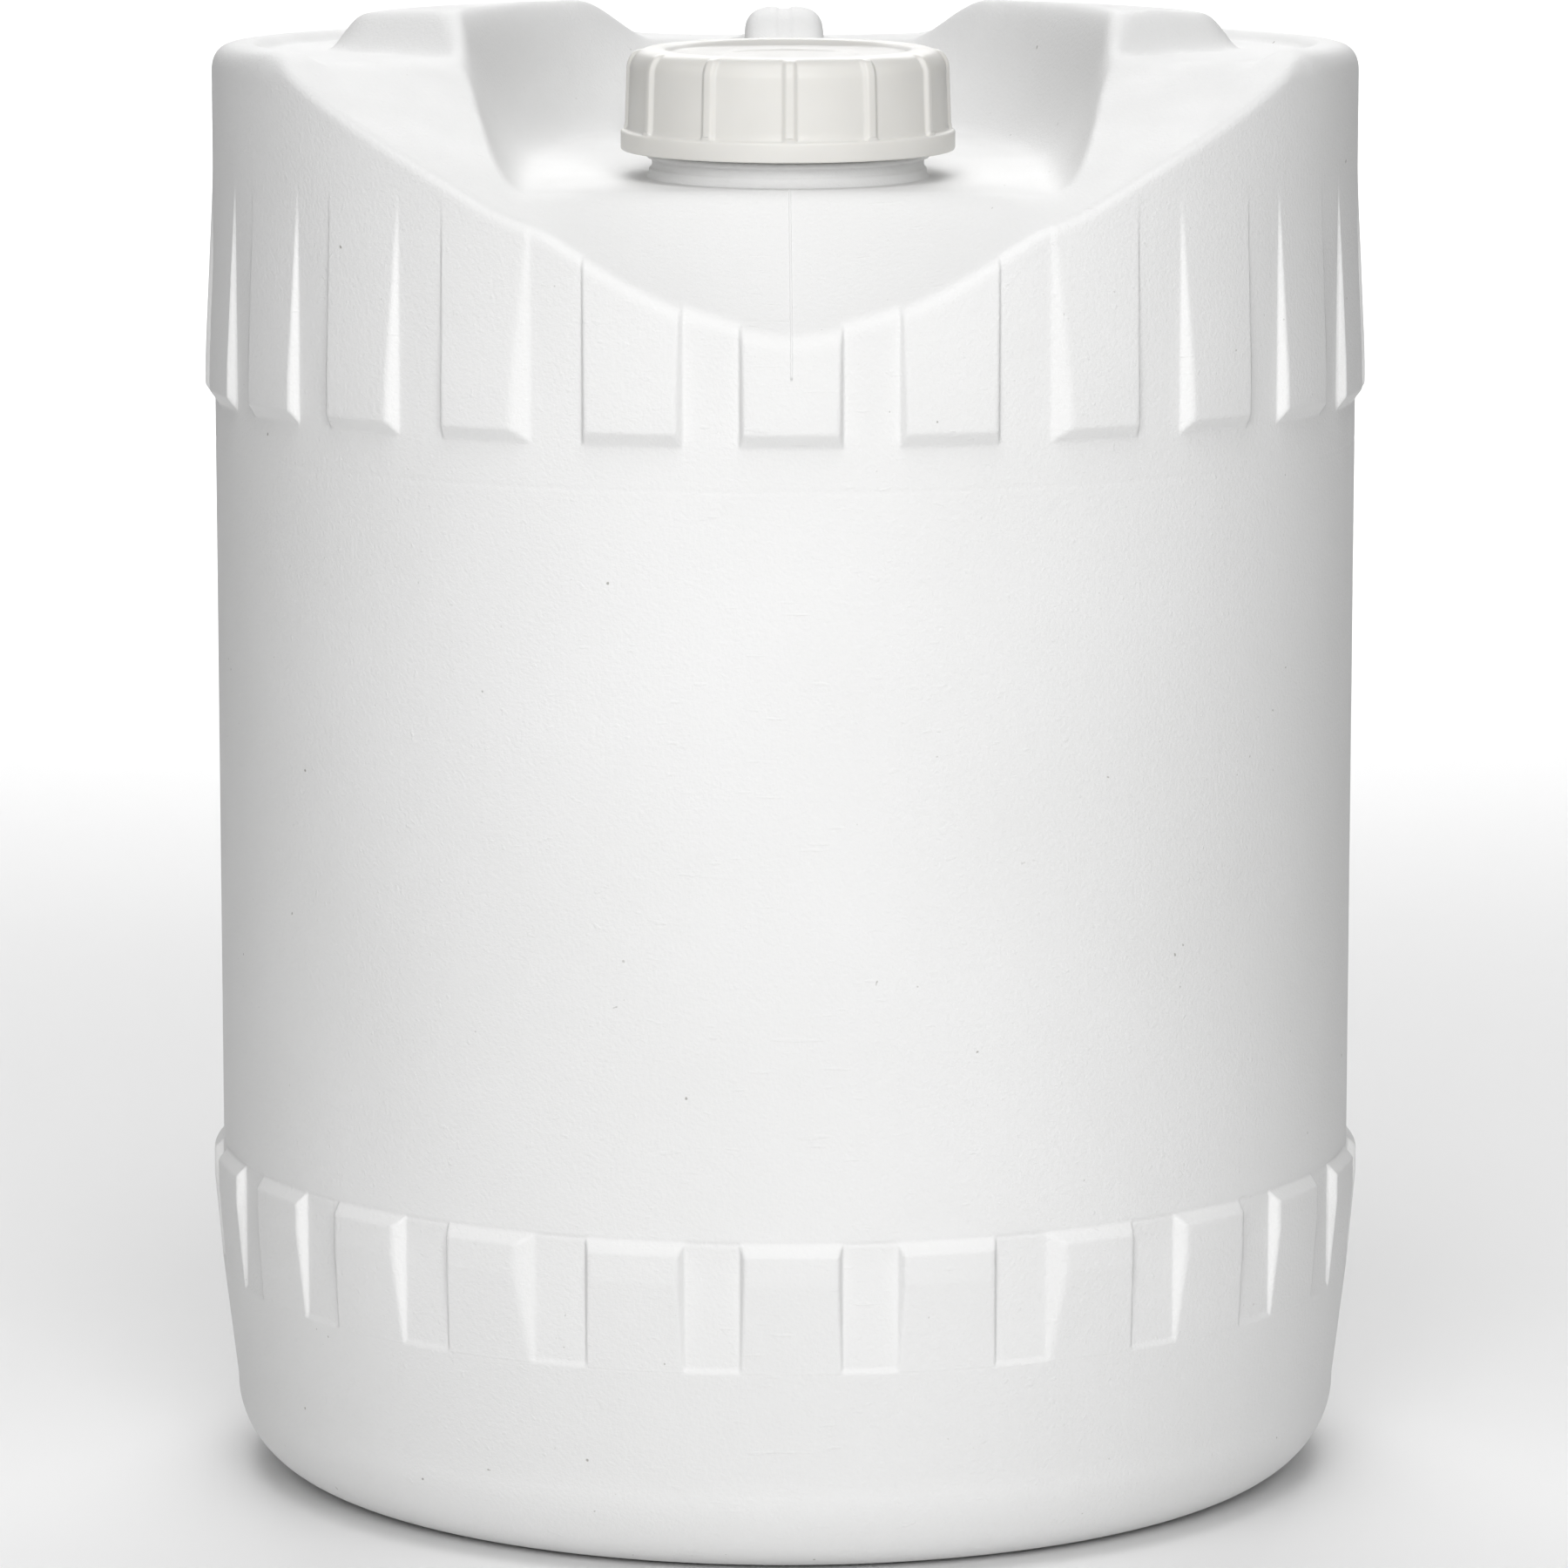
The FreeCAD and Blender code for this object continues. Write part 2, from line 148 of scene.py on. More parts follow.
def pad_flanks(azimuth):
    """The height that the two flanks of the nearest pad allow. The flank towards the mould's parting
    plane lies along the opening direction of the mould, and the other one is steep."""
    centre = np.round(azimuth / PAD_PITCH) * PAD_PITCH
    folded = np.abs(np.arctan2(np.sin(centre), np.cos(centre)))
    to_parting = np.minimum(folded, math.pi - folded)
    side = np.sign(np.sin(centre)) * np.where(folded > math.pi / 2, -1.0, 1.0)
    draft = np.tan(np.minimum(to_parting, STEEPEST_DRAFT))
    draft = np.where(to_parting > NEAR_PARTING, draft, FLANK_NEAR_PARTING)
    draft = np.where(side == 0, FLANK, draft)
    across = (azimuth - centre) * BODY_RADIUS
    across = np.where(side < 0, -across, across)
    return lower((PAD_HALF_WIDTH + across) * draft, (PAD_HALF_WIDTH - across) * FLANK, 0.5)


def wall_radius(azimuth, height):
    """The wall's radius. The azimuth is counted from the front, towards +X."""
    pads = higher(low_pad_height(height), high_pad_height(height), 0.1)
    pads = lower(pads, pad_flanks(azimuth), 0.45)
    return higher(plain_radius(height), BODY_RADIUS + pads, 0.3)


# ---------------------------------------------------------------- the drum's top

# the rim, the radii between which it steps down, and the flat deck inside it
RIM_HEIGHT = 359.4
RIM_INSIDE = (129.4, 133.0)
DECK_HEIGHT = 357.0

# the dip between the lobes at the rear, where the handle ends: it deepens over DIP_FRONT and ends
# over DIP_SIDE
DIP_HEIGHT = 355.3
DIP_RISE = 0.0006
DIP_FRONT = (72.0, 100.0)
DIP_SIDE = (36.0, 54.0)

# the recess: half an ellipse behind its centre, and straight walls in front of it
RECESS_CENTRE = -40.0
RECESS_HALF_WIDTH = 73.0
RECESS_REAR = 145.0
RECESS_WALL_LIFT = 5.0
RECESS_WALL_OUT = 1.6
RECESS_WALL_SLOPE = 3.5
RECESS_FILLET = 30.0
RECESS_EDGE = 13.0

# the finger well under the handle, and where each of its walls starts and ends
WELL_DEPTH = 11.0
WELL_FRONT = (10.0, 34.0)
WELL_REAR = (62.0, 88.0)
WELL_SIDE = (26.0, 44.0)

# facets of the front slope: height at the drum's axis, rise to the side, rise to the rear
MIDDLE_FACET = (425.7, 0.0, 0.9)
FLANK_FACET = (363.0, 0.474, 0.534)
SIDE_FACET = (351.6, 0.25, 0.338)
SIDE_UPTURN = 1.6
SIDE_UPTURN_END = 59.0
SIDE_UPTURN_BLEND = 14.0
FLANK_BLEND = 16.0
SIDE_BLEND = 12.0

# the raised lobes beside the recess
LOBE_CORNER = (78.0, -46.0)
LOBE_FRONT_NORMAL = (-0.778, 0.63)
LOBE_FRONT_LENGTH = 17.0
LOBE_SIDE = (34.0, 54.0)
LOBE_HEEL_START = 103.0
LOBE_HEEL_LENGTH = 11.5
LOBE_CREST_RADIUS = 72.0
LOBE_FALL = 1.3
LOBE_FALL_LENGTH = 32.0

# roundings: the rim, the edge of the front slope on the wall, and the slope's edge on the top
RIM_ROUNDING = 7.0
SLOPE_EDGE = 2.2
FACET_EDGE = 2.6


def recess_distance(x, y):
    """How far a point lies outside the middle of the recess wall."""
    along = np.maximum(y - RECESS_CENTRE, 0.0)
    share = np.sqrt((x / RECESS_HALF_WIDTH) ** 2 + (along / RECESS_REAR) ** 2)
    slant = np.sqrt((x / RECESS_HALF_WIDTH ** 2) ** 2 + (along / RECESS_REAR ** 2) ** 2)
    scale = np.where(slant > 1e-9, share / np.maximum(slant, 1e-9), RECESS_HALF_WIDTH)
    return (share - 1.0) * scale


def floor_height(x, y):
    """The recess floor, with a finger well under the handle."""
    foot = NECK_FOOT / MM
    well = step(y, *WELL_FRONT) * (1.0 - step(y, *WELL_REAR)) * (1.0 - step(np.abs(x), *WELL_SIDE))
    return foot.z + FLOOR_RISE * (y - foot.y) - WELL_DEPTH * well


def facet(plane, out, y):
    """The height of a facet over a point."""
    height, to_side, to_rear = plane
    return height + to_side * out + to_rear * y


def slope_height(x, y):
    """The facets that cut the front of the top away."""
    out = np.abs(x)
    upturn = SIDE_UPTURN * higher(SIDE_UPTURN_END - out, np.zeros_like(out), SIDE_UPTURN_BLEND)
    front = higher(facet(MIDDLE_FACET, out, y), facet(FLANK_FACET, out, y), FLANK_BLEND)
    return lower(front, facet(SIDE_FACET, out, y) + upturn, SIDE_BLEND)


def lobe_share(x, y):
    """1 on the raised lobes beside the recess, 0 off them."""
    out = np.abs(x)
    front = (out - LOBE_CORNER[0]) * LOBE_FRONT_NORMAL[0] + (y - LOBE_CORNER[1]) * LOBE_FRONT_NORMAL[1]
    heel = np.clip((np.hypot(x, y) - LOBE_HEEL_START) / LOBE_HEEL_LENGTH, 0.0, 1.0)
    return (1.0 - heel ** 3) * step(front, 0.0, LOBE_FRONT_LENGTH) * step(out, *LOBE_SIDE)


def crown_height(x, y):
    """The height of the drum's top over a point, before the front slope cuts it."""
    out = np.abs(x)
    radius = np.hypot(x, y)
    deck = DECK_HEIGHT + (RIM_HEIGHT - DECK_HEIGHT) * step(radius, *RIM_INSIDE)
    dip = step(y, *DIP_FRONT) * (1.0 - step(out, *DIP_SIDE))
    deck = mix(deck, DIP_HEIGHT + DIP_RISE * out ** 2, dip)
    beyond_crest = np.maximum(radius - LOBE_CREST_RADIUS, 0.0) / LOBE_FALL_LENGTH
    top = mix(deck, TOP - LOBE_FALL * beyond_crest ** 2, lobe_share(x, y))
    floor = floor_height(x, y)
    wall = floor + RECESS_WALL_LIFT + (recess_distance(x, y) + RECESS_WALL_OUT) * RECESS_WALL_SLOPE
    return lower(top, higher(floor, wall, RECESS_FILLET), RECESS_EDGE)


def top_height(x, y):
    """The height of the drum's top over a point."""
    return lower(crown_height(x, y), slope_height(x, y), FACET_EDGE)


def top_flatness(x, y):
    """The cosine of the top's slant, which makes heights over it into distances."""
    reach = 0.2
    slant_x = (top_height(x + reach, y) - top_height(x - reach, y)) / (2 * reach)
    slant_y = (top_height(x, y + reach) - top_height(x, y - reach)) / (2 * reach)
    return 1.0 / np.sqrt(1.0 + slant_x ** 2 + slant_y ** 2)


def outside(x, y, z):
    """Positive outside the drum, negative inside."""
    over = (z - top_height(x, y)) * top_flatness(x, y)
    beyond = np.hypot(x, y) - wall_radius(np.arctan2(x, -y), z)
    cut_away = step(crown_height(x, y) - slope_height(x, y), -1.0, 5.0)
    return higher(over, beyond, mix(RIM_ROUNDING, SLOPE_EDGE, cut_away))


RAY_REACH = 60.0
RAY_HALVINGS = 26


def surface_on_rays(start, direction):
    """Where rays from inside the drum leave it."""
    near = np.zeros(start.shape[1])
    far = np.full(start.shape[1], RAY_REACH)
    for _ in range(RAY_HALVINGS):
        middle = (near + far) / 2
        out = outside(*(start + direction * middle)) > 0
        far = np.where(out, middle, far)
        near = np.where(out, near, middle)
    return start + direction * (near + far) / 2


# ---------------------------------------------------------------- meshes

def mesh_object(name, points, faces, body):
    """A smooth-shaded object from points in millimetres."""
    mesh = bpy.data.meshes.new(name)
    mesh.from_pydata((np.asarray(points) * MM).tolist(), [], faces)
    mesh.validate()
    mesh.shade_smooth()
    item = bpy.data.objects.new(name, mesh)
    bpy.context.scene.collection.objects.link(item)
    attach(item, body)
    return item


def band_faces(first, second, count):
    """Quads between two closed rings of vertices, given by their first indices."""
    after = [(i + 1) % count for i in range(count)]
    return [(first + i, first + after[i], second + after[i], second + i) for i in range(count)]


def tube_faces(rings, count, first=0):
    """Quads along a row of closed rings."""
    faces = []
    for ring in range(rings - 1):
        faces += band_faces(first + ring * count, first + (ring + 1) * count, count)
    return faces


COLUMNS_PER_PITCH = 50
COLUMNS = PAD_COUNT * COLUMNS_PER_PITCH

# The wall's rows are level up to this height, and above it they follow the outline of the top.
LEVEL_ROWS_TOP = 279.0
SLANTED_ROWS = 30

# Rings over the rim join the wall to a grid laid over the top.
RING_INSET = 16.0
RING_ROWS = 30
GRID_RADIUS = BODY_RADIUS - RING_INSET


def column_azimuths():
    """Azimuths of the wall's columns, closer together at the flanks of the pads."""
    even = (np.arange(COLUMNS) / COLUMNS_PER_PITCH) % 1.0
    flank = PAD_HALF_WIDTH / BODY_RADIUS / PAD_PITCH
    fine = np.linspace(0.0, 1.0, 2001)
    spread = sum(np.exp(-((fine - place) / 0.035) ** 2) for place in (flank, 1.0 - flank))
    density = np.cumsum(1.0 + 1.6 * spread)
    density = (density - density[0]) / (density[-1] - density[0])
    within = np.interp(even, density, fine)
    return (np.floor(np.arange(COLUMNS) / COLUMNS_PER_PITCH) + within) * PAD_PITCH


def wall_heights():
    """Heights of the wall's level rows, closer together where it has relief."""
    spans = [
        (FOOT_HEIGHT, 50.0, 8), (50.0, 54.0, 20), (54.0, 71.0, 10), (71.0, 85.0, 36), (85.0, 100.0, 5),
        (100.0, 258.0, 14), (258.0, 264.0, 14), (264.0, 270.5, 4), (270.5, LEVEL_ROWS_TOP, 22),
    ]
    rows = [np.linspace(low, high, count, endpoint=False) for low, high, count in spans]
    return np.concatenate(rows + [[LEVEL_ROWS_TOP]])


def arc(centre_radius, centre_height, radius, start, end, count):
    """Points of an arc in a lathe profile, angles in degrees from outwards to upwards."""
    turns = np.radians(np.linspace(start, end, count))
    return [(centre_radius + radius * math.cos(t), centre_height + radius * math.sin(t)) for t in turns]


def polar(azimuth, radius, height):
    """Points of one row."""
    height = np.broadcast_to(height, azimuth.shape)
    return np.stack([radius * np.sin(azimuth), -radius * np.cos(azimuth), height], axis=1)


def base_profile():
    """Radius and height of the base, from its middle out to the end of its corner."""
    push_up = [
        (0.0, 3.0), (40.0, 3.0), (80.0, 2.9), (93.0, 2.7), (97.0, 2.2), (100.5, 1.0), (104.0, 0.2),
        (107.0, 0.0), (112.0, 0.0),
    ]
    return push_up + arc(FOOT_RADIUS - FOOT_ROUNDING, FOOT_ROUNDING, FOOT_ROUNDING, -90, 0, 20)


def square_to_disc(side):
    """A square grid, side cells wide, laid over a disc: each point's angle and share of the radius."""
    line = np.linspace(-1.0, 1.0, side + 1)
    a, b = np.meshgrid(line, line, indexing="ij")
    wide = np.abs(a) >= np.abs(b)
    safe_a = np.where(a == 0, 1.0, a)
    safe_b = np.where(b == 0, 1.0, b)
    reach = np.where(wide, a, b)
    turn = np.where(wide, math.pi / 4 * b / safe_a, math.pi / 2 - math.pi / 4 * a / safe_b)
    turn = np.where(reach < 0, turn + math.pi, turn)
    return turn % (2 * math.pi), np.abs(reach)


def wall_rings(azimuths):
    """The skin's rings: the base, the wall, and over the rim to the edge of the top's grid."""
    rings = [polar(azimuths, radius, height) for radius, height in base_profile()[1:]]
    rings += [polar(azimuths, wall_radius(azimuths, np.full(COLUMNS, height)), height)
              for height in wall_heights()]
    edge = top_height(BODY_RADIUS * np.sin(azimuths), -BODY_RADIUS * np.cos(azimuths))
    anchor_height = edge - RING_INSET + 2.0
    for share in np.linspace(0.0, 1.0, SLANTED_ROWS)[1:]:
        height = mix(LEVEL_ROWS_TOP, anchor_height, share)
        rings.append(polar(azimuths, wall_radius(azimuths, height), height))
    anchors = polar(azimuths, GRID_RADIUS, anchor_height).T
    for turn in np.linspace(0.0, math.pi / 2, RING_ROWS + 1)[1:]:
        rays = polar(azimuths, math.cos(turn), math.sin(turn)).T
        rings.append(surface_on_rays(anchors, rays).T)
    return rings


def top_grid(azimuths, last_ring, first_free):
    """The skin inside its last ring: points of a square grid laid over the disc, and its quads. The
    grid's border uses the ring's own points."""
    turn, reach = square_to_disc(COLUMNS // 4)
    even = np.arange(COLUMNS + 1) / COLUMNS * 2 * math.pi
    warped = np.interp(turn, even, np.append(azimuths, 2 * math.pi))
    border = np.zeros(turn.shape, dtype=bool)
    border[0, :] = border[-1, :] = border[:, 0] = border[:, -1] = True
    grid = np.full(turn.shape, -1, dtype=int)
    column = np.round(turn / (2 * math.pi) * COLUMNS).astype(int) % COLUMNS
    grid[border] = last_ring + column[border]
    grid[~border] = first_free + np.arange(np.count_nonzero(~border))
    x = (GRID_RADIUS * reach * np.sin(warped))[~border]
    y = (-GRID_RADIUS * reach * np.cos(warped))[~border]
    corners = (grid[:-1, :-1], grid[1:, :-1], grid[1:, 1:], grid[:-1, 1:])
    quads = np.stack(corners, axis=-1).reshape(-1, 4)
    return np.stack([x, y, top_height(x, y)], axis=1), quads.tolist()


def make_drum_skin():
    """The moulded shell: base, wall with pads, rim, lobes, recess and front slope."""
    azimuths = column_azimuths()
    rings = wall_rings(azimuths)
    points = np.concatenate([np.array([[0.0, 0.0, base_profile()[0][1]]])] + rings)
    faces = [(0, 1 + (i + 1) % COLUMNS, 1 + i) for i in range(COLUMNS)]
    faces += tube_faces(len(rings), COLUMNS, first=1)
    top, quads = top_grid(azimuths, 1 + (len(rings) - 1) * COLUMNS, len(points))
    skin = mesh_object("drum_skin", np.concatenate([points, top]), faces + quads, "drum")
    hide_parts("drum_shell")
    return skin


# ---------------------------------------------------------------- the neck, the handle, the parting line

THREAD_PITCH = 5.0
THREAD_START = 12.3
THREAD_TURNS = 1.5
THREAD_DEPTH = 1.9
NECK_RADIUS = 32.8
NECK_BORE = 30.0
NECK_HEIGHT = 24.4
NECK_LIP = 0.8
NECK_PLAIN_END = 7.0


def on_neck(points):
    """Move points from the neck's own frame to the drum's, in millimetres."""
    lean = Vector((0, 0, 1)).rotation_difference(NECK_AXIS).to_matrix().to_4x4()
    matrix = np.array(Matrix.Translation(NECK_FOOT / MM) @ lean)
    return points @ matrix[:3, :3].T + matrix[:3, 3]


def even_azimuths(count):
    """Evenly spaced angles round a piece."""
    return np.arange(count) / count * 2 * math.pi


def thread_relief(azimuths, height, start, turns):
    """Height of a helical thread over its root at one height. The thread starts at +X."""
    from_x = (azimuths - math.pi / 2) % (2 * math.pi)
    end = turns * 2 * math.pi
    relief = np.zeros_like(azimuths)
    for lap in range(int(math.ceil(turns)) + 1):
        angle = from_x + lap * 2 * math.pi
        away = np.abs(height - start - THREAD_PITCH * angle / (2 * math.pi))
        lead = step(angle, 0.0, 0.25) * (1.0 - step(angle, end - 0.25, end))
        relief = np.maximum(relief, THREAD_DEPTH * (1.0 - step(away, 0.5, 1.35)) * lead)
    return relief


def neck_profile():
    """Radius and height of the neck's section, from the bore's foot outwards, up and back down inside."""
    foot = [(NECK_BORE, -2.0), (NECK_RADIUS + 2.4, -2.0), (NECK_RADIUS + 2.4, -0.3)]
    foot += arc(NECK_RADIUS + 2.2, 1.2, 1.5, 270, 180, 7)
    ring = [(0.68, 1.8), (0.55, 2.1), (0.2, 2.3), (0.02, 2.6)]
    bead = [(0.0, 4.2), (0.5, 4.35), (1.1, 4.6), (1.4, 4.9), (1.4, 5.6), (1.1, 5.9), (0.5, 6.1), (0.0, 6.25)]
    beads = [(NECK_RADIUS + stand, height) for stand, height in ring + bead]
    lip_foot = NECK_HEIGHT - NECK_LIP
    side = [(NECK_RADIUS, height) for height in np.linspace(NECK_PLAIN_END, lip_foot, 66)]
    lip = arc(NECK_RADIUS - NECK_LIP, lip_foot, NECK_LIP, 0, 90, 5)[1:]
    lip += arc(NECK_BORE + NECK_LIP, lip_foot, NECK_LIP, 90, 180, 5)
    return foot + beads + side + lip + [(NECK_BORE, 10.0)]


def make_neck():
    """The neck: a lathed tube with a foot fillet, a bead, a thread and a rounded lip."""
    count = 480
    azimuths = even_azimuths(count)
    rings = []
    for radius, height in neck_profile():
        if radius >= NECK_RADIUS - 0.1 and height >= NECK_PLAIN_END:
            radius = radius + thread_relief(azimuths, height, THREAD_START, THREAD_TURNS)
        rings.append(polar(azimuths, radius, height))
    faces = tube_faces(len(rings), count) + band_faces((len(rings) - 1) * count, 0, count)
    return mesh_object("neck", on_neck(np.concatenate(rings)), faces, "drum")


# the handle from its front foot to its rear root, as stations of y, z, width and thickness
HANDLE_STATIONS = np.array([
    (15.0, 312.0, 27.0, 22.0), (15.0, 322.0, 22.0, 17.0), (15.2, 332.0, 20.0, 14.8),
    (15.6, 342.0, 19.9, 14.6), (17.2, 351.0, 19.9, 14.8), (23.0, 357.5, 19.9, 15.2),
    (32.0, 359.2, 19.9, 15.3), (44.0, 358.3, 19.9, 15.0), (58.0, 356.6, 19.9, 14.8),
    (72.0, 354.8, 19.9, 14.8), (84.0, 353.0, 20.6, 15.0), (95.0, 350.9, 24.0, 16.5),
    (104.0, 348.3, 31.0, 20.0), (112.0, 344.6, 42.0, 26.0), (120.0, 338.0, 50.0, 30.0),
])
HANDLE_RINGS = 150
HANDLE_SQUARENESS = 0.68


def smooth_through(values, count):
    """A smooth run of count values through the given ones."""
    slopes = np.gradient(values)
    place = np.linspace(0, len(values) - 1, count)
    index = np.minimum(place.astype(int), len(values) - 2)
    part = place - index
    start, end = values[index], values[index + 1]
    begin, finish = slopes[index], slopes[index + 1]
    return ((2 * part ** 3 - 3 * part ** 2 + 1) * start + (part ** 3 - 2 * part ** 2 + part) * begin
            + (3 * part ** 2 - 2 * part ** 3) * end + (part ** 3 - part ** 2) * finish)


def squared(wave):
    """A sine or cosine pushed outwards, which squares a circle's corners a little."""
    return np.sign(wave) * np.abs(wave) ** HANDLE_SQUARENESS


def make_handle():
    """The carrying handle: a moulded bar with a groove and a fine ridge where the mould halves met."""
    count = 160
    turns = even_azimuths(count)
    across, up = squared(np.cos(turns)), squared(np.sin(turns))
    stations = [smooth_through(values, HANDLE_RINGS) for values in HANDLE_STATIONS.T]
    run_y, run_z = np.gradient(stations[0]), np.gradient(stations[1])
    length = np.hypot(run_y, run_z)
    rings = []
    for y, z, width, thickness, out_y, out_z in zip(*stations, -run_z / length, run_y / length):
        side = across * width / 2
        groove = 1.15 * np.exp(-(side / 1.5) ** 2) - 0.6 * np.exp(-(side / 0.3) ** 2)
        reach = up * thickness / 2 - np.sign(up) * groove
        rings.append(np.stack([side, y + out_y * reach, z + out_z * reach], axis=1))
    last = (len(rings) - 1) * count
    faces = [tuple(reversed(range(count)))]
    faces += tube_faces(len(rings), count)
    faces.append(tuple(range(last, last + count)))
    return mesh_object("handle", np.concatenate(rings), faces, "drum")


# The parting line is traced from a point inside the drum, on rays that fan out to the front.
PARTING_HALF_WIDTH = 0.32
PARTING_STAND = 0.22
PARTING_DEPTH = 0.4
PARTING_ORIGIN = np.array([0.0, -118.0, 300.0])


def make_parting_line():
    """The fine ridge that the mould halves leave down the front, from the neck to the high pads."""
    turns = np.radians(np.concatenate([np.linspace(-25.0, 60.0, 60), np.linspace(60.5, 121.0, 90)]))
    level = np.zeros_like(turns)
    start = np.repeat(PARTING_ORIGIN[:, None], len(turns), axis=1)
    path = surface_on_rays(start, np.array([level, -np.cos(turns), np.sin(turns)])).T
    run = np.gradient(path, axis=0)
    normal = np.stack([level, -run[:, 2], run[:, 1]], axis=1)
    normal /= np.linalg.norm(normal, axis=1)[:, None]
    normal *= np.sign(np.sum(normal * (path - PARTING_ORIGIN), axis=1))[:, None]
    crest = [(PARTING_HALF_WIDTH * math.cos(turn), PARTING_STAND * math.sin(turn))
             for turn in np.linspace(0.0, math.pi, 9)]
    root = [(-PARTING_HALF_WIDTH, -PARTING_DEPTH), (PARTING_HALF_WIDTH, -PARTING_DEPTH)]
    section = crest + root
    points = [place + np.array([side, 0.0, 0.0]) + out * up
              for place, out in zip(path, normal) for side, up in section]
    count = len(section)
    last = (len(path) - 1) * count
    faces = [tuple(range(count)), tuple(reversed(range(last, last + count)))]
    faces += [face[::-1] for face in tube_faces(len(path), count)]
    return mesh_object("parting_line", points, faces, "drum")


# ---------------------------------------------------------------- the cap

CAP_FOOT = 6.5
CAP_HEIGHT = 24.2
CAP_CREST = CAP_FOOT + CAP_HEIGHT
CAP_DISH = CAP_CREST - 1.5
CAP_SHOULDER = 5.0
CAP_SHOULDER_FOOT = CAP_CREST - CAP_SHOULDER
CAP_SKIRT = 38.0
CAP_SKIRT_FOOT = 38.5
CAP_FLANGE = 40.3
CAP_FLANGE_TOP = CAP_FOOT + 4.8
CAP_UNDER = 26.5
CAP_INSIDE = 35.3
CAP_THREAD_TURNS = 1.2
CAP_CROWN = NECK_FOOT + NECK_AXIS * CAP_CREST * MM
RIB_PITCH = math.radians(30.0)
RIB_RADIUS = 38.3
RIB_STAND = 0.85
RIB_HALF_CREST = 0.7
RIB_HALF_FOOT = 2.05


def cap_top_profile():
    """The cap's top from its middle outwards: a sunken disc, the dish round it and the crest."""
    disc = [(0.0, -0.5), (8.0, -0.5), (16.0, -0.5), (16.6, -0.45), (17.0, -0.25), (17.4, -0.05)]
    dish = [(18.0, 0.0), (22.0, 0.0), (27.5, 0.0), (28.3, 0.1), (28.9, 0.5)]
    crest = [(29.5, CAP_CREST - 0.4), (30.2, CAP_CREST - 0.08), (31.0, CAP_CREST)]
    return [(radius, CAP_DISH + rise) for radius, rise in disc + dish] + crest


def cap_inside_profile():
    """The cap's inside from the skirt's foot up to the middle of its underside."""
    foot = [(36.3, CAP_FOOT), (35.6, CAP_FOOT + 0.5), (CAP_INSIDE, CAP_FOOT + 1.2)]
    side = [(CAP_INSIDE, height) for height in np.linspace(CAP_FOOT + 2.0, CAP_UNDER - 0.6, 50)]
    corner = [(CAP_INSIDE - 0.3, CAP_UNDER - 0.15), (CAP_INSIDE - 0.8, CAP_UNDER)]
    return foot + side + corner + [(15.0, CAP_UNDER), (0.0, CAP_UNDER)]


def cap_profile():
    """The cap's section from the middle of its top, round the skirt, to the middle of its underside.
    Each point is radius, height and how far the ribs stand out there, from 0 to 1."""
    points = [(*place, 0.0) for place in cap_top_profile()]
    shoulder = arc(CAP_SKIRT - CAP_SHOULDER, CAP_SHOULDER_FOOT, CAP_SHOULDER, 90, 3, 22)
    for share, place in zip(np.linspace(0, 1, 22), shoulder):
        points.append((*place, step(share, 0.12, 0.6)))
    for height in np.linspace(CAP_SHOULDER_FOOT, CAP_FLANGE_TOP + 1.3, 14)[1:]:
        share = (height - CAP_FLANGE_TOP) / (CAP_SHOULDER_FOOT - CAP_FLANGE_TOP)
        points.append((mix(CAP_SKIRT_FOOT, CAP_SKIRT, share), height, 1.0))
    points += [(*place, 1.0) for place in arc(39.4, CAP_FLANGE_TOP + 0.8, 0.8, 180, 270, 6)]
    flange = arc(CAP_FLANGE - 0.7, CAP_FLANGE_TOP - 0.7, 0.7, 90, 0, 6)
    flange += arc(CAP_FLANGE - 0.5, CAP_FOOT + 0.5, 0.5, 0, -90, 5)
    return points + [(*place, 0.0) for place in flange + cap_inside_profile()]


def rib_relief(azimuths):
    """A rounded rib at the front and every 30 degrees from it."""
    away = np.abs((azimuths + RIB_PITCH / 2) % RIB_PITCH - RIB_PITCH / 2) * RIB_RADIUS
    return RIB_STAND * (1.0 - step(away, RIB_HALF_CREST, RIB_HALF_FOOT))


def make_cap():
    """The screw cap. Ribs and thread push its rings out of the plain section."""
    count = 900
    azimuths = even_azimuths(count)
    ribs = rib_relief(azimuths)
    profile = cap_profile()
    rings = []
    for before, (radius, height, share), after in zip(profile, profile[1:], profile[2:]):
        run = math.hypot(after[0] - before[0], after[1] - before[1])
        out, up = (before[1] - after[1]) / run, (after[0] - before[0]) / run
        push = ribs * share
        if radius == CAP_INSIDE:
            out, up = -1.0, 0.0
            push = thread_relief(azimuths, height, THREAD_START + THREAD_PITCH / 2, CAP_THREAD_TURNS)
        rings.append(polar(azimuths, radius + out * push, height + up * push))
    points = np.concatenate([[[0, 0, profile[0][1]]]] + rings + [[[0, 0, profile[-1][1]]]])
    end = len(points) - 1
    last = end - count
    faces = [(0, 1 + i, 1 + (i + 1) % count) for i in range(count)]
    faces += [face[::-1] for face in tube_faces(len(rings), count, first=1)]
    faces += [(end, last + (i + 1) % count, last + i) for i in range(count)]
    cap = mesh_object("cap_moulding", on_neck(points), faces, "cap")
    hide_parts("screw_cap")
    return cap


# ---------------------------------------------------------------- materials

def new_material(name):
    """A material with its node tree, shader and object coordinates."""
    material = bpy.data.materials.new(name)
    material.use_nodes = True
    tree = material.node_tree
    coordinates = tree.nodes.new("ShaderNodeTexCoord")
    return material, tree, tree.nodes["Principled BSDF"], coordinates.outputs["Object"]


